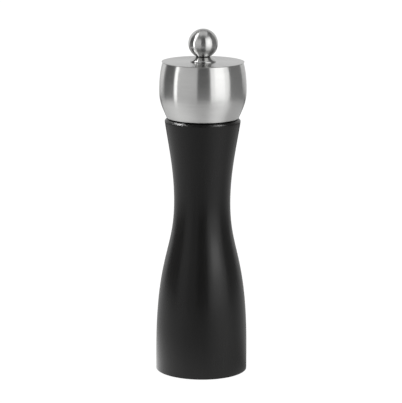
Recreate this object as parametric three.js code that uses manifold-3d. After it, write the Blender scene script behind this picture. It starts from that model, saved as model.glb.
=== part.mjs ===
// Hand pepper mill. A turned wooden body with a narrow waist holds the peppercorns. The steel head turns a
// square spindle, and the spindle turns a toothed rotor inside a toothed stator in the base. The ball knob
// screws on the spindle's thread: tightening it lifts the rotor against its spring, for a finer grind.
// Millimetres, +Z up, origin at the centre of the base, on the surface that the mill stands on.

import * as THREE from "three";
import { mergeVertices } from "three/addons/utils/BufferGeometryUtils.js";
import Module from "manifold-3d";

const wasm = await Module();
wasm.setup();

// ---------------------------------------------------------------- clearances
const seatGap = 0.1; // between faces that rest on each other
const fitGap = 0.3; // radial, between a fixed piece and the bore that it sits in
const runGap = 0.35; // radial, between pieces that turn or slide on each other

// ---------------------------------------------------------------- outside
const totalHeight = 200;
const baseRadius = 26.5;
const footHeight = 10; // straight stretch above the base
const baseEdge = 0.9; // rounding of the lower edge
const waistRadius = 16.3;
const waistDrop = 48.6; // waist below the top of the body
const neckRadius = 21.8;
const neckEdge = 1.7; // rounding of the body's upper edge
const neckFlare = 0.15; // how fast the body widens where it ends
const headBottomRadius = 20.7;
const headRadius = 25.1;
const headTopRadius = 23.35;
const headHeight = 32.3;
const headBellyHeight = 15.6; // widest circle above the head's lower edge
const headEdge = 0.95; // rounding of the head's upper edge
const headWall = 1.0;
const knobRadius = 8.45;
const knobFlatRadius = 4.66; // the ball is cut flat below
const collarRadius = 7.35;
const collarTopRadius = 4.7;
const collarHeight = 2.6;
const washerThickness = 0.4;

// ---------------------------------------------------------------- inside
const chamberRadius = 11.5;
const spindleWidth = 5.5; // across the flats
const studRadius = 2.45; // the spindle's threaded end
const pinRadius = 2.4; // the spindle's lower end
const spigotRadius = 13.5; // the part of the head that turns in the neck
const spigotLength = 11;
const bushWall = 1.1;
const bushLength = 9;
const bushFlangeWidth = 2.2;
const bushFlangeThickness = 0.5;
const pocketFloor = 5; // room under the spigot for the drive plate and its screws
const funnelHeight = 4;
const drivePlateThickness = 1.5;
const drivePlateRim = 1.6; // the spigot's edge around the drive plate

// ---------------------------------------------------------------- grinder
const rotorRadius = 9.6;
const rotorHeight = 10.4;
const fineBandHeight = 3.6; // the lower band of small teeth
const rotorRise = 0.9; // the rotor's lower face above the crossbar
const grindGap = 0.45;
const fineTeeth = 24;
const fineDepth = 0.7;
const coarseTeeth = 8;
const coarseDepth = 1.5;
const grinderTaper = 0.3; // radius lost per millimetre of height in the fine band
const statorHeight = 12.6;
const statorWall = 2.5;
const housingWall = 1.6;
const housingHeight = 27;
const flangeThickness = 2.6;
const flangeWidth = 5.9;
const mouthStep = 0.5; // the housing's mouth is wider than the chamber above it
const strapThickness = 1.4; // the crossbar and the spring bridge
const strapWidth = 6;
const springWire = 0.9;
const springTurns = 6.5;
const thrustWasherThickness = 0.8;
const clipThickness = 0.8;
const clipRadius = 4.6;

// ---------------------------------------------------------------- screws
const screwHeadRadius = 2.5;
const screwHeadHeight = 1.3;
const screwShankRadius = 1.3;
const woodScrewLength = 12;
const plateScrewLength = 8;
const headClearance = 0.7; // the lowest screw heads above the surface

// ---------------------------------------------------------------- heights that follow
const knobHeight = knobRadius + Math.sqrt(knobRadius ** 2 - knobFlatRadius ** 2);
const knobBase = totalHeight - knobHeight;
const washerBase = knobBase - seatGap - washerThickness;
const collarBase = washerBase - seatGap - collarHeight;
const headTop = collarBase - seatGap;
const headBase = headTop - headHeight;
const bodyHeight = headBase - bushFlangeThickness - 2 * seatGap;
const waistHeight = bodyHeight - waistDrop;
const knobCentre = totalHeight - knobRadius;
const spigotBase = headBase - spigotLength;
const plateTop = spigotBase - seatGap;
const plateBase = plateTop - drivePlateThickness;
const pocketBase = spigotBase - pocketFloor;
const crossbarBase = headClearance + screwHeadHeight + seatGap;
const flangeBase = crossbarBase + strapThickness + seatGap;
const recessHeight = flangeBase + flangeThickness + seatGap;
const housingTop = flangeBase + housingHeight;
const rotorBase = flangeBase + rotorRise;
const rotorTop = rotorBase + rotorHeight;
const statorBase = flangeBase + seatGap;
const statorTop = statorBase + statorHeight;
const bridgeBase = housingTop - strapThickness;
const thrustWasherBase = bridgeBase - seatGap - thrustWasherThickness;

// ---------------------------------------------------------------- radii that follow
const spindleCorner = (spindleWidth / 2) * Math.SQRT2;
const spindleBore = spindleCorner + runGap;
const studBore = studRadius + runGap;
const springRadius = spindleBore + springWire / 2 + 0.2;
const rotorTopRadius = springRadius + springWire / 2 + 0.9;
const bushBore = spigotRadius + runGap;
const bushRadius = bushBore + bushWall;
const neckBore = bushRadius + fitGap;
const fineThroat = rotorRadius + grindGap;
const statorRadius = fineThroat + fineDepth + statorWall;
const statorSeat = statorRadius + fitGap;
const barrelRadius = statorSeat + housingWall;
const mechanismPocket = barrelRadius + fitGap;
const flangeRadius = barrelRadius + flangeWidth;
const recessRadius = flangeRadius + fitGap;
const fixingRadius = (mechanismPocket + flangeRadius) / 2; // circle of the screws in the flange
const mouthRadius = chamberRadius + mouthStep;
const screwHole = screwShankRadius + fitGap;
const plateRadius = spigotRadius - drivePlateRim;
const plateScrewRadius = (spindleBore + plateRadius) / 2;
const collarSpigotRadius = studBore + 1.4;
const collarSpigotLength = headWall + 2.2;
const collarSeat = collarSpigotRadius + fitGap;

// ---------------------------------------------------------------- roundness
const bigSteps = 40;
const midSteps = 32;
const smallSteps = 20;

// ---------------------------------------------------------------- shape helpers
const at = (r, z) => new THREE.Vector2(r, z);

// A solid of revolution about Z. Its outline runs anticlockwise, with r to the right and z up. It starts and
// ends on the axis, or it is a ring's outline, which is closed here.
function turned(outline, steps) {
  const onAxis = outline[0].x === 0;
  const points = onAxis ? outline : [...outline, outline[0]];
  return new THREE.LatheGeometry(points, steps).rotateX(Math.PI / 2);
}

// Points of a cubic curve after its first one. Each handle is given by its own point.
function curve(start, startHandle, endHandle, end, count) {
  return new THREE.CubicBezierCurve(start, startHandle, endHandle, end).getPoints(count).slice(1);
}

// Points of an arc after its first one, with angles in degrees from +r.
function arc(centre, radius, from, to, count) {
  const turn = (i) => THREE.MathUtils.degToRad(from + ((to - from) * i) / count);
  return Array.from({ length: count }, (_, k) =>
    at(centre.x + radius * Math.cos(turn(k + 1)), centre.y + radius * Math.sin(turn(k + 1))),
  );
}

const tube = (inner, outer, low, high, steps) =>
  turned([at(inner, low), at(outer, low), at(outer, high), at(inner, high)], steps);

const rod = (radius, low, high, steps = smallSteps) =>
  turned([at(0, low), at(radius, low), at(radius, high), at(0, high)], steps);

function block(width, depth, low, high) {
  return new THREE.BoxGeometry(width, depth, high - low).translate(0, 0, (low + high) / 2);
}

function slab(shape, low, thickness, curveSegments = 12) {
  const options = { depth: thickness, bevelEnabled: false, curveSegments };
  return new THREE.ExtrudeGeometry(shape, options).translate(0, 0, low);
}

function roundHole(x, y, radius) {
  return new THREE.Path().absarc(x, y, radius, 0, 2 * Math.PI, true);
}

// The solid that manifold-3d cuts and joins, from a closed three.js geometry.
function solid(geometry) {
  const bare = new THREE.BufferGeometry().setAttribute("position", geometry.getAttribute("position"));
  const merged = mergeVertices(geometry.index ? bare.setIndex(geometry.index) : bare);
  const mesh = new wasm.Mesh({
    numProp: 3,
    vertProperties: merged.attributes.position.array,
    triVerts: new Uint32Array(merged.index.array),
  });
  return new wasm.Manifold(mesh);
}

function geometryOf(cut) {
  const { vertProperties, triVerts } = cut.getMesh();
  return new THREE.BufferGeometry()
    .setAttribute("position", new THREE.BufferAttribute(new Float32Array(vertProperties), 3))
    .setIndex(new THREE.BufferAttribute(new Uint32Array(triVerts), 1));
}

const without = (geometry, cutters) =>
  geometryOf(cutters.reduce((left, cutter) => left.subtract(solid(cutter)), solid(geometry)));

const joined = (geometries) => geometryOf(geometries.map(solid).reduce((a, b) => a.add(b)));

const onCircle = (radius, degrees) =>
  new THREE.Vector2(radius, 0).rotateAround(new THREE.Vector2(), THREE.MathUtils.degToRad(degrees));

// ---------------------------------------------------------------- materials
const steelLook = { color: 0xb9b9b7, metalness: 1, roughness: 0.25 };
const looks = {
  lacqueredWood: new THREE.MeshStandardMaterial({ color: 0x1a1a1a, roughness: 0.4 }),
  satinSteel: new THREE.MeshStandardMaterial(steelLook),
  blackPlastic: new THREE.MeshStandardMaterial({ color: 0x202021, roughness: 0.55 }),
  platedSteel: new THREE.MeshStandardMaterial({ ...steelLook, color: 0xa9abab, roughness: 0.35 }),
  burrSteel: new THREE.MeshStandardMaterial({ ...steelLook, color: 0x6d6e70, roughness: 0.4 }),
};

const mill = new THREE.Group();

function add(name, geometry, look) {
  const mesh = new THREE.Mesh(geometry, looks[look]);
  mesh.name = name;
  mill.add(mesh);
  return mesh;
}

// ---------------------------------------------------------------- body
// Outside of the body from the foot up to the neck: an S from the foot to the waist, then a flare.
function bodyOutside() {
  const edge = Math.min(baseEdge, (baseRadius - recessRadius) / 2);
  const foot = at(baseRadius, footHeight);
  const waist = at(waistRadius, waistHeight);
  const neck = at(neckRadius, bodyHeight - neckEdge);
  const belly = waist.y - foot.y;
  const flare = neck.y - waist.y;
  const footHandle = at(foot.x, foot.y + 0.66 * belly);
  const lowerWaistHandle = at(waist.x, waist.y - 0.335 * belly);
  const upperWaistHandle = at(waist.x, waist.y + 0.39 * flare);
  const neckHandle = at(neck.x - neckFlare * 0.29 * flare, neck.y - 0.29 * flare);
  return [
    at(baseRadius - edge, 0),
    ...arc(at(baseRadius - edge, edge), edge, -90, 0, 3),
    foot,
    ...curve(foot, footHandle, lowerWaistHandle, waist, 14),
    ...curve(waist, upperWaistHandle, neckHandle, neck, 10),
    ...arc(at(neckRadius - neckEdge, bodyHeight - neckEdge), neckEdge, 0, 90, 4),
  ];
}

// The body is bored through: neck, pocket for the spigot, funnel, chamber and the grinder's stepped seat.
function woodenBody() {
  const outline = [
    ...bodyOutside(),
    at(neckBore, bodyHeight),
    at(neckBore, pocketBase),
    at(chamberRadius, pocketBase - funnelHeight),
    at(chamberRadius, housingTop + seatGap),
    at(mechanismPocket, housingTop + seatGap),
    at(mechanismPocket, recessHeight),
    at(recessRadius, recessHeight),
    at(recessRadius, 0),
  ];
  const pilotTop = crossbarBase + woodScrewLength + 1;
  const pilots = [0, 90, 180, 270].map((degrees) => {
    const place = onCircle(fixingRadius, degrees);
    return rod(screwHole, recessHeight - 1, pilotTop, 12).translate(place.x, place.y, 0);
  });
  return without(turned(outline, bigSteps), pilots);
}

// Nylon bush in the neck. The spigot turns in its bore, and the head turns on its flange.
function neckBush() {
  const flangeTop = headBase - seatGap;
  const flangeLow = flangeTop - bushFlangeThickness;
  const outline = [
    at(bushBore, flangeLow - bushLength),
    at(bushRadius, flangeLow - bushLength),
    at(bushRadius, flangeLow),
    at(bushRadius + bushFlangeWidth, flangeLow),
    at(bushRadius + bushFlangeWidth, flangeTop),
    at(bushBore, flangeTop),
  ];
  return turned(outline, bigSteps);
}

// ---------------------------------------------------------------- head
// The head's side as a curve from its lower edge up to the height given, moved in by inset.
function headSide(inset, top, count) {
  const low = at(headBottomRadius - inset, headBase);
  const belly = at(headRadius - inset, headBase + headBellyHeight);
  const rim = at(headTopRadius - inset, top);
  const lower = belly.y - low.y;
  const upper = rim.y - belly.y;
  const lowHandle = at(low.x + 0.165 * lower, low.y + 0.38 * lower);
  const underBelly = at(belly.x, belly.y - 0.4 * lower);
  const overBelly = at(belly.x, belly.y + 0.29 * upper);
  const rimHandle = at(rim.x + 0.09 * upper, rim.y - 0.335 * upper);
  const below = curve(low, lowHandle, underBelly, belly, count);
  return [low, ...below, ...curve(belly, overBelly, rimHandle, rim, count)];
}

function headShell() {
  const edge = Math.min(headEdge, headHeight / 8);
  const innerTop = headTop - headWall;
  const outside = headSide(0, headTop - edge, 8);
  const inside = headSide(headWall, innerTop, 4).reverse();
  const outline = [
    ...outside,
    ...arc(at(headTopRadius - edge, headTop - edge), edge, 0, 90, 3),
    at(collarSeat, headTop),
    at(collarSeat, innerTop),
    ...inside,
  ];
  return turned(outline, bigSteps);
}

// Plastic core that fills the shell. Its spigot turns in the neck and carries the drive plate.
function headCore() {
  const coreTop = headTop - headWall - seatGap;
  const side = headSide(headWall + fitGap, coreTop, 4);
  const boreTop = headBase + 6;
  const seatFloor = headTop - collarSpigotLength - seatGap;
  const outline = [
    at(spindleBore, spigotBase),
    at(spigotRadius, spigotBase),
    at(spigotRadius, headBase),
    ...side,
    at(collarSeat, coreTop),
    at(collarSeat, seatFloor),
    at(studBore, seatFloor),
    at(studBore, boreTop + 2),
    at(spindleBore, boreTop),
  ];
  const pilots = [0, 180].map((degrees) => {
    const place = onCircle(plateScrewRadius, degrees);
    return rod(screwHole, spigotBase - 1, spigotBase + plateScrewLength, 12).translate(place.x, place.y, 0);
  });
  return without(turned(outline, midSteps), pilots);
}

// Domed steel collar that holds the shell on the core and carries the knob.
function headCollar() {
  const top = collarBase + collarHeight;
  const foot = at(collarRadius, collarBase + 0.3);
  const lip = at(collarTopRadius, top);
  const outline = [
    at(studBore, headTop - collarSpigotLength),
    at(collarSpigotRadius, headTop - collarSpigotLength),
    at(collarSpigotRadius, collarBase),
    at(collarRadius, collarBase),
    foot,
    ...curve(foot, at(foot.x, foot.y + 0.21 * collarHeight), at(lip.x + 0.8, lip.y - 0.6), lip, 6),
    at(studBore, top),
  ];
  return turned(outline, midSteps);
}

function drivePlate() {
  const shape = new THREE.Shape().absarc(0, 0, plateRadius, 0, 2 * Math.PI);
  const half = spindleWidth / 2 + fitGap;
  shape.holes.push(
    new THREE.Path().moveTo(-half, -half).lineTo(-half, half).lineTo(half, half).lineTo(half, -half),
    roundHole(plateScrewRadius, 0, screwHole),
    roundHole(-plateScrewRadius, 0, screwHole),
  );
  return slab(shape, plateBase, drivePlateThickness);
}

// ---------------------------------------------------------------- knob
// A steel ball cut flat below, with a blind threaded hole for the stud.
function ballKnob() {
  const cut = knobCentre - knobBase;
  const startAngle = -THREE.MathUtils.radToDeg(Math.asin(cut / knobRadius));
  const holeTop = knobBase + knobHeight * 0.7;
  const outline = [
    at(0, holeTop),
    at(studBore, holeTop),
    at(studBore, knobBase),
    at(knobFlatRadius, knobBase),
    ...arc(at(0, knobCentre), knobRadius, startAngle, 90, 12).slice(0, -1),
    at(0, totalHeight),
  ];
  return turned(outline, midSteps);
}

// ---------------------------------------------------------------- spindle
const studTop = knobBase + knobHeight * 0.7 - 1.9;
const squareTop = headBase + 3.5;
const pinTop = rotorBase + 2.6;

// Square bar with a threaded stud above and a round pin below, which runs in the crossbar.
function spindle() {
  const stud = turned(
    [
      at(0, squareTop - 1),
      at(studRadius, squareTop - 1),
      at(studRadius, studTop - 0.6),
      at(studRadius - 0.6, studTop),
      at(0, studTop),
    ],
    smallSteps,
  );
  const bar = block(spindleWidth, spindleWidth, pinTop, squareTop);
  return joined([bar, stud, rod(pinRadius, crossbarBase, pinTop + 1)]);
}

// ---------------------------------------------------------------- grinder
// A ring of saw teeth between two radii, drawn once round.
function sawOutline(teeth, root, tip) {
  const step = (2 * Math.PI) / teeth;
  const points = [];
  for (let i = 0; i < teeth; i++) {
    for (const [share, radius] of [[0, root], [0.3, tip], [0.5, tip], [0.8, root]]) {
      const angle = step * (i + share);
      points.push(at(radius * Math.cos(angle), radius * Math.sin(angle)));
    }
  }
  return new THREE.Shape(points);
}

// A toothed cone. The outline keeps the depth of its teeth while its radius grows by widening, and it turns
// by twist degrees, over the whole height.
function toothedCone(shape, low, high, widening, twist, steps) {
  const options = { depth: high - low, steps, bevelEnabled: false };
  const geometry = new THREE.ExtrudeGeometry(shape, options);
  const place = geometry.getAttribute("position");
  for (let i = 0; i < place.count; i++) {
    const flat = new THREE.Vector2(place.getX(i), place.getY(i));
    const share = place.getZ(i) / (high - low);
    flat.setLength(flat.length() + widening * share);
    flat.rotateAround(new THREE.Vector2(), THREE.MathUtils.degToRad(twist * share));
    place.setXYZ(i, flat.x, flat.y, place.getZ(i) + low);
  }
  return geometry;
}

const coarseLow = rotorBase + fineBandHeight;
const fineLoss = grinderTaper * fineBandHeight;
const bandOverlap = 0.1;

// Hardened rotor: the small teeth of the lower band grind, and the spiral flutes above crack the corns.
function rotor() {
  const fine = toothedCone(
    sawOutline(fineTeeth, rotorRadius - fineDepth, rotorRadius),
    rotorBase, coarseLow, -fineLoss, 6, 1,
  );
  const coarseTip = rotorRadius - fineLoss - 0.1;
  const flutes = toothedCone(
    sawOutline(coarseTeeth, coarseTip - coarseDepth, coarseTip),
    coarseLow - bandOverlap, rotorTop, rotorTopRadius - coarseTip, 40, 4,
  );
  const hub = rod(rotorTopRadius, rotorTop - 1.6, rotorTop, midSteps);
  const squareHole = spindleWidth + 2 * fitGap;
  const pocket = rod(clipRadius + fitGap, rotorBase - 1, pinTop - seatGap, midSteps);
  return without(joined([fine, flutes, hub]), [
    block(squareHole, squareHole, rotorBase, rotorTop + 1),
    pocket,
  ]);
}

// Hardened ring with teeth inside that match the rotor's two bands. It opens upwards to let the corns in.
function stator() {
  const throat = fineThroat - fineLoss;
  const mouth = statorRadius - coarseDepth * 0.6 - 1.3;
  const fine = toothedCone(
    sawOutline(fineTeeth, fineThroat + bandOverlap * grinderTaper, fineThroat + fineDepth),
    statorBase - bandOverlap, coarseLow, -fineLoss, -6, 1,
  );
  const coarse = toothedCone(
    sawOutline(coarseTeeth, throat + 0.05, throat + coarseDepth * 0.6),
    coarseLow - bandOverlap, statorTop + bandOverlap, mouth - throat, -30, 3,
  );
  return without(rod(statorRadius, statorBase, statorTop, bigSteps), [fine, coarse]);
}

function rotorClip() {
  const low = pinTop - seatGap - 0.3 - clipThickness;
  return tube(pinRadius + fitGap, clipRadius, low, low + clipThickness, smallSteps);
}

// Flanged cup that holds the stator in the wood. Two notches in its mouth hold the spring bridge.
function grinderHousing() {
  const shoulder = statorTop + seatGap;
  const throat = statorRadius - 1.2;
  const outline = [
    at(statorSeat, flangeBase),
    at(flangeRadius, flangeBase),
    at(flangeRadius, flangeBase + flangeThickness),
    at(barrelRadius, flangeBase + flangeThickness),
    at(barrelRadius, housingTop),
    at(mouthRadius, housingTop),
    at(throat, shoulder + 1.5),
    at(throat, shoulder),
    at(statorSeat, shoulder),
  ];
  const notch = block(2 * barrelRadius + 2, strapWidth + 2 * fitGap, bridgeBase - seatGap, housingTop + 1);
  const screws = [0, 90, 180, 270].map((degrees) => {
    const place = onCircle(fixingRadius, degrees);
    const hole = rod(screwHole, flangeBase - 1, flangeBase + flangeThickness + 1, 12);
    return hole.translate(place.x, place.y, 0);
  });
  return without(turned(outline, bigSteps), [notch, ...screws]);
}

// A steel strap with round ends and a boss round its centre hole.
function strapShape(halfLength, bossRadius, holeRadius) {
  const half = strapWidth / 2;
  const bite = Math.asin(half / bossRadius);
  const end = halfLength - half;
  const shape = new THREE.Shape()
    .absarc(end, 0, half, -Math.PI / 2, Math.PI / 2)
    .absarc(0, 0, bossRadius, bite, Math.PI - bite)
    .absarc(-end, 0, half, Math.PI / 2, 1.5 * Math.PI)
    .absarc(0, 0, bossRadius, Math.PI + bite, 2 * Math.PI - bite);
  shape.holes.push(roundHole(0, 0, holeRadius));
  return shape;
}

// The bridge crosses the housing's mouth in its notches, and the spring pushes up against it.
function springBridge() {
  const shape = strapShape(barrelRadius - 0.2, springRadius + springWire / 2 + 0.6, spindleBore);
  return slab(shape, bridgeBase, strapThickness - seatGap, 8);
}

// The crossbar closes the underside: it keeps the stator in its seat, and its hole guides the spindle's pin.
function crossbar() {
  const halfLength = fixingRadius + strapWidth / 2 - fitGap;
  const shape = strapShape(halfLength, pinRadius + 3.1, pinRadius + runGap);
  shape.holes.push(roundHole(fixingRadius, 0, screwHole), roundHole(-fixingRadius, 0, screwHole));
  return slab(shape, crossbarBase, strapThickness, 8);
}

// Coil spring between the rotor and the thrust washer, with one closed turn at each end.
class Coil extends THREE.Curve {
  getPoint(share) {
    const turn = share * springTurns;
    const low = rotorTop + seatGap + springWire / 2;
    const high = thrustWasherBase - seatGap - springWire / 2;
    const closed = 1.15 * springWire;
    const open = (high - low - 2 * closed) / (springTurns - 2);
    const middle = Math.min(Math.max(turn - 1, 0), springTurns - 2);
    const ends = Math.min(turn, 1) + Math.max(turn - (springTurns - 1), 0);
    const angle = 2 * Math.PI * turn;
    const x = springRadius * Math.cos(angle);
    const y = springRadius * Math.sin(angle);
    return new THREE.Vector3(x, y, low + closed * ends + open * middle);
  }
}

function spring() {
  const section = new THREE.Shape();
  const sides = 6;
  for (let i = 0; i < sides; i++) {
    const corner = onCircle(springWire / 2, (360 * i) / sides);
    i ? section.lineTo(corner.x, corner.y) : section.moveTo(corner.x, corner.y);
  }
  const steps = Math.round(springTurns * 12);
  return new THREE.ExtrudeGeometry(section, { steps, extrudePath: new Coil(), bevelEnabled: false });
}

// ---------------------------------------------------------------- screws
// A pan-head screw with its head down, seated on a face at the height given. A cross is cut in its head.
function screw(seat, length) {
  const low = seat - seatGap - screwHeadHeight;
  const under = seat - seatGap;
  const outline = [
    at(0, low),
    at(screwHeadRadius * 0.7, low),
    at(screwHeadRadius, low + screwHeadHeight * 0.6),
    at(screwHeadRadius, under),
    at(screwShankRadius, under),
    at(screwShankRadius, under + length - 2),
    at(0, under + length),
  ];
  const slot = [screwHeadRadius * 1.1, 0.5];
  const slotTop = low + screwHeadHeight * 0.6;
  return without(turned(outline, 16), [
    block(slot[0], slot[1], low - 1, slotTop),
    block(slot[1], slot[0], low - 1, slotTop),
  ]);
}

function addScrews(name, angles, circle, seat, length) {
  angles.forEach((degrees, i) => {
    const place = onCircle(circle, degrees);
    add(`${name}_${i + 1}`, screw(seat, length), "platedSteel").position.set(place.x, place.y, 0);
  });
}

// ---------------------------------------------------------------- the mill
add("wooden_body", woodenBody(), "lacqueredWood");
add("neck_bush", neckBush(), "blackPlastic");
add("grinder_housing", grinderHousing(), "blackPlastic");
add("stator", stator(), "burrSteel");
add("spring_bridge", springBridge(), "platedSteel");
add("crossbar", crossbar(), "platedSteel");
addScrews("crossbar_screw", [0, 180], fixingRadius, crossbarBase, woodScrewLength);
addScrews("housing_screw", [90, 270], fixingRadius, flangeBase, woodScrewLength - strapThickness);

add("thrust_washer", tube(spindleBore, springRadius + 1, thrustWasherBase, bridgeBase - seatGap, smallSteps),
  "platedSteel");
add("spring", spring(), "platedSteel");

add("spindle", spindle(), "platedSteel");
add("rotor", rotor(), "burrSteel");
add("rotor_clip", rotorClip(), "platedSteel");

add("head_shell", headShell(), "satinSteel");
add("head_core", headCore(), "blackPlastic");
add("head_collar", headCollar(), "satinSteel");
add("drive_plate", drivePlate(), "platedSteel");
addScrews("drive_plate_screw", [0, 180], plateScrewRadius, plateBase, plateScrewLength);

add("knob_washer", tube(studBore, collarTopRadius - 0.6, washerBase, washerBase + washerThickness, midSteps),
  "blackPlastic");
add("ball_knob", ballKnob(), "satinSteel");

export default mill;
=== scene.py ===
"""Looks of the pepper mill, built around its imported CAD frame. Metres, +Z up."""

import math

import bmesh
import bpy
from mathutils import Matrix, Vector


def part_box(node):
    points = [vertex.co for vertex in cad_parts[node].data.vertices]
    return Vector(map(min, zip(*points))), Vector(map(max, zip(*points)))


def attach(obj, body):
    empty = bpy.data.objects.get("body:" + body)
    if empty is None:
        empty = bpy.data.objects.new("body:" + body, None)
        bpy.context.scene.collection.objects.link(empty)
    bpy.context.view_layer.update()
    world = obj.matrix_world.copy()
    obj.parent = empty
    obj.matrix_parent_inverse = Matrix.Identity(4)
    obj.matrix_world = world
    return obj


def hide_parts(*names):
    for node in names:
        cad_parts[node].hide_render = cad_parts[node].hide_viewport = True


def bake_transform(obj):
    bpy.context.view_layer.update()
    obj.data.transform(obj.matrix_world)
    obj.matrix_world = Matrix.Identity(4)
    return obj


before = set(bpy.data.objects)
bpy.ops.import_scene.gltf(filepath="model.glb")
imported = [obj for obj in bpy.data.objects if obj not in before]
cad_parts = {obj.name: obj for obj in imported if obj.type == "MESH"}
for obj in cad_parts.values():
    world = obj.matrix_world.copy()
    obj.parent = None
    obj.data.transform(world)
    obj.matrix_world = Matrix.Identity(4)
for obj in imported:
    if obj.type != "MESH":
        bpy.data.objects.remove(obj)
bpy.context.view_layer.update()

# ---------------------------------------------------------------- camera
LENS, SENSOR_WIDTH = 190.6, 36  # millimetres
TILT_DOWN, TILT_ASIDE = 11.86, 0.34  # degrees

camera_data = bpy.data.cameras.new("camera")
camera_data.lens, camera_data.sensor_width = LENS, SENSOR_WIDTH
camera_data.clip_start, camera_data.clip_end = 0.05, 50
camera = bpy.data.objects.new("camera", camera_data)
bpy.context.scene.collection.objects.link(camera)
bpy.context.scene.camera = camera
camera_place = Vector((-0.00070, -1.208, 0.3532))
pitch, roll = math.radians(90 - TILT_DOWN), math.radians(TILT_ASIDE)
camera.matrix_world = (
    Matrix.Translation(camera_place) @ Matrix.Rotation(pitch, 4, "X") @ Matrix.Rotation(roll, 4, "Z")
)


# ---------------------------------------------------------------- shader helpers
class Value:
    """A number socket in a material. Each operator adds one Math node."""

    def __init__(self, shader, socket):
        self.shader, self.socket = shader, socket

    def math(self, operation, *others, clamp=False):
        return self.shader.math(operation, self, *others, clamp=clamp)

    def __add__(self, other):
        return self.math("ADD", other)

    def __sub__(self, other):
        return self.math("SUBTRACT", other)

    def __rsub__(self, other):
        return self.shader.math("SUBTRACT", other, self)

    def __mul__(self, other):
        return self.math("MULTIPLY", other)

    def __truediv__(self, other):
        return self.math("DIVIDE", other)

    __radd__, __rmul__ = __add__, __mul__


class Shader:
    """A node material with one Principled surface."""

    def __init__(self, name, **surface):
        self.material = bpy.data.materials.new(name)
        self.material.use_nodes = True
        self.tree = self.material.node_tree
        self.surface = next(n for n in self.tree.nodes if n.type == "BSDF_PRINCIPLED")
        self.set(**surface)

    def link(self, socket, value):
        if isinstance(value, Value):
            value = value.socket
        if isinstance(value, bpy.types.NodeSocket):
            self.tree.links.new(value, socket)
        else:
            socket.default_value = value

    def set(self, **inputs):
        for name, value in inputs.items():
            self.link(self.surface.inputs[name.replace("_", " ")], value)

    def node(self, kind, settings=None, **inputs):
        made = self.tree.nodes.new("ShaderNode" + kind)
        for name, value in (settings or {}).items():
            if name == "stops":
                ramp = made.color_ramp
                ramp.elements[0].position, ramp.elements[0].color = value[0]
                ramp.elements[1].position, ramp.elements[1].color = value[-1]
                for position, colour in value[1:-1]:
                    ramp.elements.new(position).color = colour
            else:
                setattr(made, name, value)
        for name, value in inputs.items():
            self.link(made.inputs[name.replace("_", " ")], value)
        return made

    def math(self, operation, *values, clamp=False):
        made = self.tree.nodes.new("ShaderNodeMath")
        made.operation, made.use_clamp = operation, clamp
        for socket, value in zip(made.inputs, values):
            self.link(socket, value)
        return Value(self, made.outputs[0])

    def place(self):
        """The point's own x, y and z in metres."""
        spot = self.node("TexCoord").outputs["Object"]
        parts = self.node("SeparateXYZ", Vector=spot).outputs
        return spot, [Value(self, parts[axis]) for axis in "XYZ"]

    def vector(self, x, y, z):
        return self.node("CombineXYZ", X=x, Y=y, Z=z).outputs[0]

    def noise(self, vector, scale, detail=2.0, roughness=0.5, w=None):
        settings = {"noise_dimensions": "3D" if w is None else "4D"}
        made = self.node("TexNoise", settings, Vector=vector, Scale=scale, Detail=detail, Roughness=roughness)
        if w is not None:
            self.link(made.inputs["W"], w)
        return Value(self, made.outputs[0])

    def ramp(self, value, *stops):
        return self.node("ValToRGB", {"stops": stops}, Fac=value).outputs["Color"]

    def blend(self, factor, first, second):
        made = self.node("Mix", {"data_type": "RGBA"})
        self.link(made.inputs[0], factor)
        self.link(made.inputs[6], first)
        self.link(made.inputs[7], second)
        return made.outputs[2]

    def bump(self, height, strength, distance):
        return self.node("Bump", Height=height, Strength=strength, Distance=distance).outputs[0]

    def scaled(self, spot, x, y, z):
        """The point's place with each axis stretched, for a pattern that runs along the long one."""
        made = self.node("VectorMath", {"operation": "MULTIPLY"})
        self.link(made.inputs[0], spot)
        made.inputs[1].default_value = (x, y, z)
        return made.outputs[0]

    def lathe_lines(self, per_metre, wander=1.4, detail=3.0):
        """Fine lines that run round Z, as a lathe or a belt leaves them."""
        _, (x, y, z) = self.place()
        radius = (x * x + y * y).math("SQRT").math("MAXIMUM", 1e-5)
        round_z = self.vector(x / radius * wander, y / radius * wander, radius * per_metre)
        return self.noise(round_z, 1.0, detail, 0.62, w=z * per_metre)


# ---------------------------------------------------------------- materials
STEEL_DARK, STEEL_BRIGHT = (0.54, 0.54, 0.535, 1), (0.64, 0.64, 0.63, 1)
LACQUER_DEEP, LACQUER_PALE = (0.0030, 0.0030, 0.0029, 1), (0.0062, 0.0060, 0.0058, 1)
BEECH_DARK, BEECH_MIDDLE, BEECH_LIGHT = (0.36, 0.205, 0.11, 1), (0.50, 0.31, 0.175, 1), (0.60, 0.40, 0.24, 1)
BEECH_FLECK = (0.23, 0.12, 0.06, 1)
NYLON_DARK, NYLON_LIGHT = (0.012, 0.012, 0.0125, 1), (0.024, 0.024, 0.025, 1)
ZINC_DULL, ZINC_BRIGHT = (0.46, 0.465, 0.47, 1), (0.67, 0.68, 0.67, 1)
BURR_DARK, BURR_WORN = (0.17, 0.172, 0.18, 1), (0.36, 0.355, 0.35, 1)
DRAWN_DARK, DRAWN_BRIGHT = (0.40, 0.40, 0.405, 1), (0.56, 0.56, 0.555, 1)
ROUND_Z = 0.25  # turns the stretch of a gloss so that it runs across lines round Z
FACE_DEPTH = 0.0001  # how far below the head's top its faced finish reaches


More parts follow.
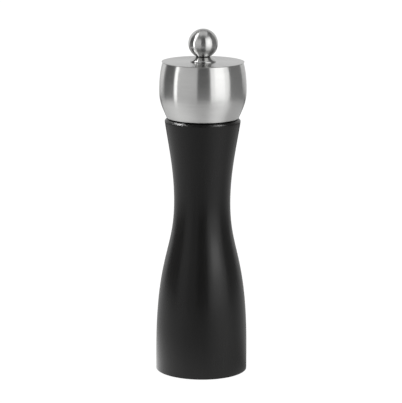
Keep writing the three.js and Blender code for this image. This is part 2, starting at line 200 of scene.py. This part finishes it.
def satin_steel():
    """Stainless steel brushed round its axis, so lights stretch up and down on it. The head's faced top is
    smoother."""
    s = Shader("satin_steel", Metallic=1.0, Anisotropic=0.88, Anisotropic_Rotation=ROUND_Z)
    fine = s.lathe_lines(5200)
    broad = s.lathe_lines(700, 0.7, 2.0)
    spot, (_, _, height) = s.place()
    smudge = s.noise(spot, 95, 3.0)
    faced = height.math("GREATER_THAN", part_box("head_shell")[1][2] - FACE_DEPTH)
    tone = (fine * 0.7 + broad * 0.3).math("MULTIPLY_ADD", 1.6, -0.3, clamp=True)
    s.set(Base_Color=s.blend(tone, STEEL_DARK, STEEL_BRIGHT))
    s.set(Roughness=0.18 + fine * 0.07 + smudge * 0.06 - faced * 0.09)
    s.set(Normal=s.bump(fine, 0.07, 0.00002))
    return s.material


def polished_steel():
    """The knob's steel, brushed finely round its axis and lightly polished."""
    s = Shader("polished_steel", Metallic=1.0, Anisotropic=0.95, Anisotropic_Rotation=ROUND_Z)
    fine = s.lathe_lines(4200)
    smudge = s.noise(s.place()[0], 140, 3.0)
    s.set(Base_Color=s.blend(fine, STEEL_DARK, STEEL_BRIGHT))
    s.set(Roughness=0.18 + fine * 0.05 + smudge * 0.03)
    s.set(Normal=s.bump(fine, 0.07, 0.00002))
    return s.material


def black_lacquer():
    """Black satin lacquer over turned beech: the grain shows as faint upright lines in its sheen."""
    s = Shader("black_lacquer", Specular_IOR_Level=0.28)
    spot, _ = s.place()
    grain = s.noise(s.scaled(spot, 900, 900, 26), 1.0, 4.0, 0.6)
    pores = s.noise(s.scaled(spot, 2600, 2600, 160), 1.0, 2.0)
    cloud = s.noise(spot, 42, 3.0)
    specks = pores.math("GREATER_THAN", 0.63)
    s.set(Base_Color=s.blend(grain, LACQUER_DEEP, LACQUER_PALE))
    s.set(Roughness=0.20 + cloud * 0.07 + grain * 0.05)
    s.set(Normal=s.bump(grain * 0.8 - specks * 0.4, 0.10, 0.00005))
    return s.material


def raw_beech():
    """Untreated beech in the bores: pinkish tan, with short dark flecks along the grain."""
    s = Shader("raw_beech", Specular_IOR_Level=0.3)
    spot, _ = s.place()
    bands = s.noise(s.scaled(spot, 190, 190, 9), 1.0, 3.0, 0.55)
    flecks = s.noise(s.scaled(spot, 2300, 2300, 330), 1.0, 2.0)
    wood = s.ramp(bands, (0.30, BEECH_DARK), (0.55, BEECH_MIDDLE), (0.72, BEECH_LIGHT))
    mark = flecks.math("MULTIPLY_ADD", 6.0, -3.7, clamp=True)
    s.set(Base_Color=s.blend(mark * 0.55, wood, BEECH_FLECK))
    s.set(Roughness=0.62 + bands * 0.18)
    s.set(Normal=s.bump(bands - mark * 0.5, 0.3, 0.0001))
    return s.material


def black_nylon():
    """Moulded nylon with a fine eroded grain."""
    s = Shader("black_nylon", Specular_IOR_Level=0.45)
    spot, _ = s.place()
    grain = s.noise(spot, 3200, 2.0)
    cloud = s.noise(spot, 120, 2.0)
    s.set(Base_Color=s.blend(cloud, NYLON_DARK, NYLON_LIGHT))
    s.set(Roughness=0.42 + cloud * 0.16)
    s.set(Normal=s.bump(grain, 0.25, 0.00004))
    return s.material


def zinc_plate():
    """Bright zinc on stamped steel, with its cloudy passivated bloom."""
    s = Shader("zinc_plate", Metallic=1.0)
    spot, _ = s.place()
    bloom = s.noise(spot, 260, 4.0, 0.6)
    scratch = s.noise(s.scaled(spot, 260, 5200, 5200), 1.0, 2.0)
    s.set(Base_Color=s.blend(bloom, ZINC_DULL, ZINC_BRIGHT))
    s.set(Roughness=0.26 + bloom * 0.14 + scratch * 0.06)
    s.set(Normal=s.bump(scratch * 0.5 + bloom * 0.5, 0.08, 0.00003))
    return s.material


def burr_steel():
    """Case-hardened sintered steel: dark grey, with fine pits and lighter worn places."""
    s = Shader("burr_steel", Metallic=1.0)
    spot, _ = s.place()
    cloud = s.noise(spot, 420, 4.0, 0.62)
    pits = s.noise(spot, 5200, 2.0)
    s.set(Base_Color=s.blend(cloud, BURR_DARK, BURR_WORN))
    s.set(Roughness=0.34 + cloud * 0.12 + pits * 0.12)
    s.set(Normal=s.bump(pits, 0.30, 0.00003))
    return s.material


def drawn_steel():
    """Cold-drawn bar and spring wire: fine lines along the drawing direction."""
    s = Shader("drawn_steel", Metallic=1.0)
    spot, _ = s.place()
    lines = s.noise(s.scaled(spot, 4200, 4200, 60), 1.0, 3.0, 0.6)
    cloud = s.noise(spot, 150, 2.0)
    s.set(Base_Color=s.blend(cloud, DRAWN_DARK, DRAWN_BRIGHT))
    s.set(Roughness=0.24 + lines * 0.14)
    s.set(Normal=s.bump(lines, 0.12, 0.00002))
    return s.material


STEEL, POLISHED, LACQUER = satin_steel(), polished_steel(), black_lacquer()
BEECH, NYLON = raw_beech(), black_nylon()
ZINC, BURR, DRAWN = zinc_plate(), burr_steel(), drawn_steel()


# ---------------------------------------------------------------- mesh helpers
EDGE_ANGLE = 32  # an edge that turns by more than this is rounded
CORNER_ANGLE = 24  # an outline that bends by more than this has a corner
STRAIGHT_ANGLE = 0.2  # an outline that bends by less than this runs straight
ROUNDING_POINTS = 5
SCREW_ROUNDING, SCREW_RIM = 0.0003, 0.7  # the rim is what lies outside this share of the head's radius
SUPPORT_SHARE = 0.6  # a rounding is kept off a flat run by a line this share of its reach away
MERGE, TOUCH = 1e-6, 1e-7  # distances under which points are one

pieces = []


def finished(name, mesh_work, body, slot, materials, *nodes, sharp=35):
    """Makes the piece from its bmesh, lets it ride on its body and stand for its CAD nodes."""
    mesh = bpy.data.meshes.new(name)
    mesh_work.to_mesh(mesh)
    mesh_work.free()
    for material in materials:
        mesh.materials.append(material)
    mesh.shade_smooth()
    mesh.set_sharp_from_angle(angle=math.radians(sharp))
    piece = bpy.data.objects.new(name, mesh)
    bpy.context.scene.collection.objects.link(piece)
    pieces.append(piece)
    if body:
        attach(piece, body)
    if nodes:
        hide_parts(*nodes)
    return piece


def merged_copy(node):
    """A CAD node's shape with its loose triangles joined."""
    work = bmesh.new()
    work.from_mesh(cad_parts[node].data)
    bmesh.ops.remove_doubles(work, verts=work.verts, dist=MERGE)
    return work


def half_section(node, degrees):
    """The outline that a half plane through the axis cuts from a CAD node: a list of (radius, height)."""
    work = merged_copy(node)
    turn = Matrix.Rotation(math.radians(-degrees), 3, "Z")
    bmesh.ops.rotate(work, verts=work.verts, cent=(0, 0, 0), matrix=turn)
    geometry = work.verts[:] + work.edges[:] + work.faces[:]
    cut = bmesh.ops.bisect_plane(work, geom=geometry, dist=TOUCH, plane_co=(0, 0, 0),
                                 plane_no=(0, 1, 0))["geom_cut"]
    edges = [e for e in cut if isinstance(e, bmesh.types.BMEdge)]
    neighbours = {}
    for e in edges:
        a, b = e.verts
        if min(a.co.x, b.co.x) > -TOUCH and abs(a.co.y) + abs(b.co.y) < MERGE:
            neighbours.setdefault(a, []).append(b)
            neighbours.setdefault(b, []).append(a)
    ends = [v for v, others in neighbours.items() if len(others) == 1]
    start = min(ends or neighbours, key=lambda v: (round(v.co.z, 7), v.co.x))
    path, last = [start], None
    while True:
        onward = [v for v in neighbours[path[-1]] if v is not last and v not in path[1:]]
        if not onward or onward[0] is start:
            break
        last = path[-1]
        path.append(onward[0])
    points = [Vector((max(v.co.x, 0.0), v.co.z)) for v in path]
    if not ends:
        points.append(points[0])
    work.free()
    return points


def corner_angle(before, point, after):
    return math.degrees((point - before).angle(after - point, 0.0))


def smoothed(points, times=2):
    """Adds points on a smooth curve through the given ones, and leaves corners and straight runs alone."""
    low = Vector(min(p[i] for p in points) for i in (0, 1))
    high = Vector(max(p[i] for p in points) for i in (0, 1))
    for _ in range(times):
        closed = (points[0] - points[-1]).length < 1e-9
        ring = points[:-1] if closed else points
        count = len(ring)

        def pick(i):
            return ring[i % count] if closed else ring[min(max(i, 0), count - 1)]

        def sharp(i):
            if not closed and i in (0, count - 1):
                return True
            bend = corner_angle(pick(i - 1), pick(i), pick(i + 1))
            return bend > CORNER_ANGLE or bend < STRAIGHT_ANGLE

        out = []
        for i in range(count if closed else count - 1):
            a, b = pick(i), pick(i + 1)
            out.append(a)
            if sharp(i) and sharp(i + 1):
                continue
            before = 2 * a - b if sharp(i) else pick(i - 1)
            after = 2 * b - a if sharp(i + 1) else pick(i + 2)
            middle = (9 * (a + b) - before - after) / 16
            out.append(Vector(min(max(middle[k], low[k]), high[k]) for k in (0, 1)))
        out.append(points[-1])
        points = out
    return points


def eased(points, radius):
    """Rounds each corner of an outline to the radius, and keeps flat runs flat right up to the rounding."""
    closed = (points[0] - points[-1]).length < 1e-9
    ring = points[:-1] if closed else points
    count = len(ring)
    out = []
    for i, point in enumerate(ring):
        if not closed and i in (0, count - 1):
            out.append(point)
            continue
        before, after = ring[i - 1], ring[(i + 1) % count]
        bend = math.radians(corner_angle(before, point, after))
        into, onward = point - before, after - point
        if math.degrees(bend) <= CORNER_ANGLE:
            out.append(point)
            continue
        reach = min(radius * math.tan(bend / 2), 0.4 * into.length, 0.4 * onward.length)
        start, end = point - into.normalized() * reach, point + onward.normalized() * reach
        support = SUPPORT_SHARE * reach
        if into.length > 4 * reach:
            out.append(start - into.normalized() * support)
        for k in range(ROUNDING_POINTS):
            t = k / (ROUNDING_POINTS - 1)
            out.append((1 - t) ** 2 * start + 2 * t * (1 - t) * point + t * t * end)
        if onward.length > 4 * reach:
            out.append(end + onward.normalized() * support)
    if closed:
        out.append(out[0])
    return out


def spin(work, points, steps, material=0):
    """Spins an outline round the axis into a bmesh."""
    old = set(work.faces)
    ends = [work.verts.new((p.x, 0, p.y)) for p in points]
    edges = [work.edges.new(pair) for pair in zip(ends, ends[1:])]
    bmesh.ops.spin(work, geom=ends + edges, cent=(0, 0, 0), axis=(0, 0, 1), angle=math.tau, steps=steps,
                   use_merge=True)
    for face in set(work.faces) - old:
        face.material_index = material


def turned(name, node, body, slot, *materials, at=0.0, steps=128, ease=0.0003, split=None):
    """A turned piece: the CAD node's own outline, smoothed and eased, spun finely. With split, the outline
    between its start and that point is the piece's outside, and the rest gets the second material."""
    work = bmesh.new()
    outline = eased(smoothed(half_section(node, at)), ease)
    runs = [outline]
    if split is not None:
        turn = min(range(len(outline)), key=lambda i: (outline[i] - split).length)
        runs = sorted((outline[: turn + 1], outline[turn:]), key=lambda run: -max(p.x for p in run))
    for index, run in enumerate(runs):
        spin(work, run, steps, index)
    bmesh.ops.remove_doubles(work, verts=work.verts, dist=2e-7)
    bmesh.ops.dissolve_degenerate(work, edges=work.edges, dist=1e-8)
    bmesh.ops.recalc_face_normals(work, faces=work.faces)
    finished(name, work, body, slot, materials, node, sharp=50)


def round_edges(work, edges, radius, segments=2):
    bmesh.ops.bevel(work, geom=edges, offset=radius, segments=segments, profile=0.5, affect="EDGES",
                    material=-1, clamp_overlap=True)


def with_whole_faces(work):
    """Joins the triangles of each flat face, and returns the edges between faces that meet at an angle."""
    bmesh.ops.dissolve_limit(work, angle_limit=math.radians(1), verts=work.verts, edges=work.edges)
    return [e for e in work.edges if e.calc_face_angle(0.0) > math.radians(EDGE_ANGLE)]


def refined(name, node, body, slot, material, bevel):
    """A CAD node's own shape with its flat faces whole and its edges rounded."""
    work = merged_copy(node)
    round_edges(work, with_whole_faces(work), bevel)
    bmesh.ops.recalc_face_normals(work, faces=work.faces)
    finished(name, work, body, slot, [material], node, sharp=40)


def screw(name, node, body):
    """A screw with its head's rim rounded and its cross recess left crisp."""
    work = merged_copy(node)
    low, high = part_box(node)
    axis, head_radius = (low + high) / 2, (high[0] - low[0]) / 2
    rim = [e for e in work.edges if e.calc_face_angle(0.0) > math.radians(EDGE_ANGLE)
           and min((v.co - axis).xy.length for v in e.verts) > SCREW_RIM * head_radius]
    round_edges(work, rim, SCREW_ROUNDING, 4)
    bmesh.ops.recalc_face_normals(work, faces=work.faces)
    finished(name, work, body, "plated_steel", [ZINC], node, sharp=30)


# ---------------------------------------------------------------- body
section = half_section("wooden_body", 45)
neck_top = max(p.y for p in section)
bore_edge = min((p for p in section if p.y > neck_top - MERGE), key=lambda p: p.x)
turned("turned_body", "wooden_body", "body", "lacquered_wood", LACQUER, BEECH, at=45, steps=160,
       ease=0.0004, split=bore_edge)
turned("nylon_bush", "neck_bush", "body", "black_nylon", NYLON, ease=0.0001)
refined("nylon_housing", "grinder_housing", "body", "black_nylon", NYLON, bevel=0.00025)
refined("burr_ring", "stator", "body", "hardened_steel", BURR, bevel=0.00006)
refined("spring_strap", "spring_bridge", "body", "plated_steel", ZINC, bevel=0.0002)
refined("base_strap", "crossbar", "body", "plated_steel", ZINC, bevel=0.00025)
for number in ("1", "2"):
    screw("strap_screw_" + number, "crossbar_screw_" + number, "body")
    screw("flange_screw_" + number, "housing_screw_" + number, "body")

# ---------------------------------------------------------------- head and knob
turned("steel_head", "head_shell", "head", "satin_steel", STEEL, steps=192, ease=0.0002)
turned("head_filling", "head_core", "head", "black_nylon", NYLON, at=45)
turned("domed_collar", "head_collar", "head", "satin_steel", STEEL, ease=0.0002)
refined("square_drive", "drive_plate", "head", "plated_steel", ZINC, bevel=0.0002)
for number in ("1", "2"):
    screw("drive_screw_" + number, "drive_plate_screw_" + number, "head")
turned("knob_ring", "knob_washer", "washer", "black_nylon", NYLON, ease=0.0001)
turned("steel_ball", "ball_knob", "knob", "satin_steel", POLISHED, steps=160, ease=0.0003)

# ---------------------------------------------------------------- spindle and spring
THREAD_PITCH, THREAD_DEPTH, THREAD_LENGTH = 0.0008, 0.00049, 0.024
THREAD_STEPS, WIRE_STEPS = 28, 36  # to a turn
BAR_ROUNDING = 0.0003
SPRING_WIRE, SPRING_TURNS = 0.0009, 6.5
CLOSED_RISE = 1.15 * SPRING_WIRE  # of a spring's last turn, which lies on the one before


def cut_flat(work, height, above):
    """Cuts away what lies above, or below, a level plane, and closes the cut."""
    cut = bmesh.ops.bisect_plane(work, geom=work.verts[:] + work.edges[:] + work.faces[:], dist=TOUCH,
                                 plane_co=(0, 0, height), plane_no=(0, 0, 1), clear_outer=above,
                                 clear_inner=not above)["geom_cut"]
    rim = [e for e in cut if isinstance(e, bmesh.types.BMEdge)]
    bmesh.ops.triangle_fill(work, edges=rim, use_beauty=True)


def threaded_end(radius, low, high):
    """A screw thread cut in a rod, with a flat foot and a chamfered end."""
    work = bmesh.new()
    root, crest = radius - THREAD_DEPTH, radius
    turns = math.ceil((high - low) / THREAD_PITCH) + 2
    start = low - THREAD_PITCH
    groove = [(root, 0), (root, 0.2), (crest, 0.54), (crest, 0.66), (root, 1)]
    ends = [work.verts.new((r, 0, start + share * THREAD_PITCH)) for r, share in groove]
    edges = [work.edges.new(pair) for pair in zip(ends, ends[1:])]
    bmesh.ops.spin(work, geom=ends + edges, cent=(0, 0, 0), axis=(0, 0, 1), angle=math.tau * turns,
                   dvec=(0, 0, THREAD_PITCH / THREAD_STEPS), steps=THREAD_STEPS * turns)
    bmesh.ops.remove_doubles(work, verts=work.verts, dist=MERGE)
    cut_flat(work, high, True)
    cut_flat(work, low, False)
    for v in work.verts:
        reach, limit = v.co.xy.length, radius - max(0.0, v.co.z - high + THREAD_DEPTH)
        if reach > limit:
            v.co.xy *= limit / reach
    return work


def square_spindle():
    """The square bar with its round pin below and its threaded end above."""
    work = merged_copy("spindle")
    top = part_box("spindle")[1][2]
    thread_low = top - THREAD_LENGTH
    stud = max(v.co.x for v in work.verts if v.co.z > thread_low)
    cut_flat(work, thread_low, True)
    edges = [e for e in with_whole_faces(work) if max(v.co.z for v in e.verts) < thread_low - MERGE]
    round_edges(work, edges, BAR_ROUNDING)
    thread = threaded_end(stud, thread_low, top)
    spare = bpy.data.meshes.new("thread")
    thread.to_mesh(spare)
    thread.free()
    work.from_mesh(spare)
    bpy.data.meshes.remove(spare)
    bmesh.ops.recalc_face_normals(work, faces=work.faces)
    finished("square_spindle", work, "spindle", "plated_steel", [DRAWN], "spindle", sharp=30)


def spring_coil():
    """Round wire wound into a spring, with one closed turn at each end."""
    low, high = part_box("spring")
    half = SPRING_WIRE / 2
    rise = high[2] - low[2] - SPRING_WIRE
    work = bmesh.new()
    place = Matrix.Translation((high[0] - half, 0, low[2] + half)) @ Matrix.Rotation(math.radians(90), 4, "X")
    ring = bmesh.ops.create_circle(work, cap_ends=False, segments=14, radius=half, matrix=place)["verts"]
    edge = ring + list({e for v in ring for e in v.link_edges})
    for turns, lift in ((1, CLOSED_RISE), (SPRING_TURNS - 2, rise - 2 * CLOSED_RISE), (1, CLOSED_RISE)):
        steps = round(turns * WIRE_STEPS)
        edge = bmesh.ops.spin(work, geom=edge, cent=(0, 0, 0), axis=(0, 0, 1), angle=math.tau * turns,
                              dvec=(0, 0, lift / steps), steps=steps)["geom_last"]
    bmesh.ops.holes_fill(work, edges=[e for e in work.edges if e.is_boundary], sides=0)
    bmesh.ops.recalc_face_normals(work, faces=work.faces)
    coil = finished("spring_coil", work, None, "plated_steel", [DRAWN], "spring")
    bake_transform(coil)


square_spindle()
spring_coil()
refined("burr_cone", "rotor", "spindle", "hardened_steel", BURR, bevel=0.00008)
turned("push_ring", "rotor_clip", "spindle", "plated_steel", DRAWN, at=18, steps=64, ease=0.0001)
turned("spring_washer", "thrust_washer", "drive", "plated_steel", ZINC, at=18, steps=64, ease=0.0001)

# ---------------------------------------------------------------- floor and lights
def staged(name, work, material):
    """A part of the stage. Unless set otherwise, the mill neither mirrors it nor stands in its shade."""
    mesh = bpy.data.meshes.new(name)
    work.to_mesh(mesh)
    work.free()
    mesh.materials.append(material)
    made = bpy.data.objects.new(name, mesh)
    bpy.context.scene.collection.objects.link(made)
    made.visible_glossy = made.visible_shadow = False
    return made


def paper(name, tone, glow):
    """White paper that glows a little, as under a bright sweep. From behind it is clear, to show the base."""
    s = Shader(name, Base_Color=(tone, tone, tone, 1), Roughness=0.9, Specular_IOR_Level=0.0)
    s.set(Emission_Color=(1, 1, 1, 1), Emission_Strength=glow)
    side = s.node("NewGeometry").outputs["Backfacing"]
    clear = s.node("BsdfTransparent").outputs[0]
    mixed = s.node("MixShader", Fac=side)
    s.tree.links.new(s.surface.outputs[0], mixed.inputs[1])
    s.tree.links.new(clear, mixed.inputs[2])
    output = next(n for n in s.tree.nodes if n.type == "OUTPUT_MATERIAL")
    s.tree.links.new(mixed.outputs[0], output.inputs["Surface"])
    return s.material


TABLE_RADIUS, TABLE_DEPTH, NEAR_FOOT = 0.60, 0.0005, 0.12
TABLE_GLOW, LEFT_GLOW, FRONT_RIGHT_GLOW = 0.57, 0.35, 1.05
FOOT_GLOW, RIGHT_FOOT_SHADE = 0.85, 1.28
EDGE_FADE, FOOT_FADE = 16.0, 12.0  # how steeply the glow falls off, in metres to the power of minus one
FLOOR_RADIUS, BACKDROP_RADIUS = 5.0, 6.0


def table_sheen():
    """The lit table top as the mill mirrors it: brightest out to the left and at the front right, and
    brighter close to the foot."""
    s = Shader("table_sheen", Base_Color=(0, 0, 0, 1), Specular_IOR_Level=0.0)
    _, (x, y, _) = s.place()
    reach = (x * x + y * y).math("SQRT").math("MAXIMUM", 1e-4)
    edge = (TABLE_RADIUS - reach).math("MULTIPLY_ADD", EDGE_FADE, 0.0, clamp=True)
    near = (NEAR_FOOT - reach).math("MULTIPLY_ADD", FOOT_FADE, 0.0, clamp=True)
    left, right = (x / reach).math("MINIMUM", 0.0), (x / reach).math("MAXIMUM", 0.0)
    front_right = (right * right * (y / reach) * -FRONT_RIGHT_GLOW).math("MAXIMUM", 0.0)
    at_foot = near * (right * -RIGHT_FOOT_SHADE + FOOT_GLOW) + 1.0
    glow = (left * left * LEFT_GLOW + front_right + TABLE_GLOW) * edge * at_foot
    s.set(Emission_Strength=1.0, Emission_Color=s.vector(glow, glow, glow))
    return s.material


disc = bmesh.new()
bmesh.ops.create_circle(disc, cap_ends=True, segments=96, radius=FLOOR_RADIUS)
staged("floor", disc, paper("floor_paper", 0.20, 0.96))

table = bmesh.new()
bmesh.ops.create_circle(table, cap_ends=True, segments=96, radius=TABLE_RADIUS,
                        matrix=Matrix.Translation((0, 0, -TABLE_DEPTH)))
sheen = staged("table_top", table, table_sheen())
sheen.visible_camera = sheen.visible_diffuse = sheen.visible_transmission = False
sheen.visible_glossy = sheen.visible_shadow = True

wall = bmesh.new()
bmesh.ops.create_uvsphere(wall, u_segments=64, v_segments=32, radius=BACKDROP_RADIUS)
bmesh.ops.reverse_faces(wall, faces=wall.faces)
backdrop = staged("backdrop", wall, paper("backdrop_paper", 0.25, 1.01))
backdrop.visible_diffuse = backdrop.visible_transmission = False


FAR, CLOSE = 2.2, 1.6  # the lights' distances
LIGHT_LEVEL = 0.1  # the height on the mill from which the lights' angles are taken


def studio_world(strength):
    """Dim, even surroundings."""
    world = bpy.data.worlds.new("studio")
    world.use_nodes = True
    background = world.node_tree.nodes["Background"]
    background.inputs["Color"].default_value = (1, 1, 1, 1)
    background.inputs["Strength"].default_value = strength
    bpy.context.scene.world = world


def panel(name, place, away, width, height, radiance, shown_on=()):
    """A soft rectangular light that faces back along the direction away, of the radiance given. It can be
    kept to some of the pieces, as a flag keeps a lamp off the rest."""
    light = bpy.data.lights.new(name, "AREA")
    light.shape, light.size, light.size_y = "RECTANGLE", width, height
    light.energy = math.pi * width * height * radiance
    lamp = bpy.data.objects.new(name, light)
    bpy.context.scene.collection.objects.link(lamp)
    lamp.rotation_mode = "QUATERNION"
    lamp.location = place
    lamp.rotation_quaternion = away.to_track_quat("Z", "Y")
    lamp.visible_camera = False
    if shown_on:
        lit = bpy.data.collections.new(name + "_lit")
        for piece in shown_on:
            lit.objects.link(piece)
        lamp.light_linking.receiver_collection = lit


def softbox(name, azimuth, half_angle, low, high, radiance, distance=FAR, shown_on=()):
    """An upright light as wide as the angle that it fills, azimuth in degrees from the front towards the
    right. It reaches from the low angle to the high one, as seen from the light level."""
    turn = math.radians(azimuth)
    away = Vector((math.sin(turn), -math.cos(turn), 0))
    foot, top = (distance * math.tan(math.radians(angle)) for angle in (low, high))
    width = 2 * distance * math.tan(math.radians(half_angle))
    middle = away * distance + Vector((0, 0, (foot + top) / 2 + LIGHT_LEVEL))
    panel(name, middle, away, width, top - foot, radiance, shown_on)


head = [piece for piece in pieces if piece.name == "steel_head"]
knob = [piece for piece in pieces if piece.name in ("domed_collar", "steel_ball")]
bright = head + knob
dark = [piece for piece in pieces if piece not in bright]

studio_world(0.13)
softbox("right_box", 48, 28, -9, 47, 1.2)
softbox("right_core", 46, 14, -9, 40, 0.4)
softbox("right_low", 46, 24, -22, -9, 1.25, shown_on=bright)
softbox("right_glow", 47, 15, 8, 45, 2.6, shown_on=dark)
softbox("left_box", -42, 27, -12, 38, 0.58, shown_on=bright)
softbox("left_inner", -28, 13, -12, 38, 0.32, shown_on=dark)
softbox("left_outer", -55.5, 14.5, -12, 38, 0.60, shown_on=dark)
softbox("left_strip", -76, 5, -35, 60, 2.0, shown_on=head)
softbox("knob_strip", -76, 5, -35, 60, 3.8, shown_on=knob)
softbox("left_lamp", -98, 8, 42, 64, 5.0, distance=CLOSE, shown_on=bright)
softbox("left_gleam", -104, 15, 42, 64, 56.0, distance=CLOSE, shown_on=dark)
softbox("right_gleam", 68, 12, 42, 62, 16.0, distance=CLOSE, shown_on=dark)
softbox("left_wing", -134, 13, -14, 40, 0.22)
softbox("right_wing", 104, 24, -14, 40, 0.10)
softbox("back_screen", 180, 52, -10, 48, 0.55)
panel("overhead", Vector((0, 0.2, 2.4)), Vector((0, 0, 1)), 2.0, 2.0, 0.6)

view = bpy.context.scene.view_settings
view.view_transform, view.look, view.exposure, view.gamma = "Standard", "None", 0.0, 1.0
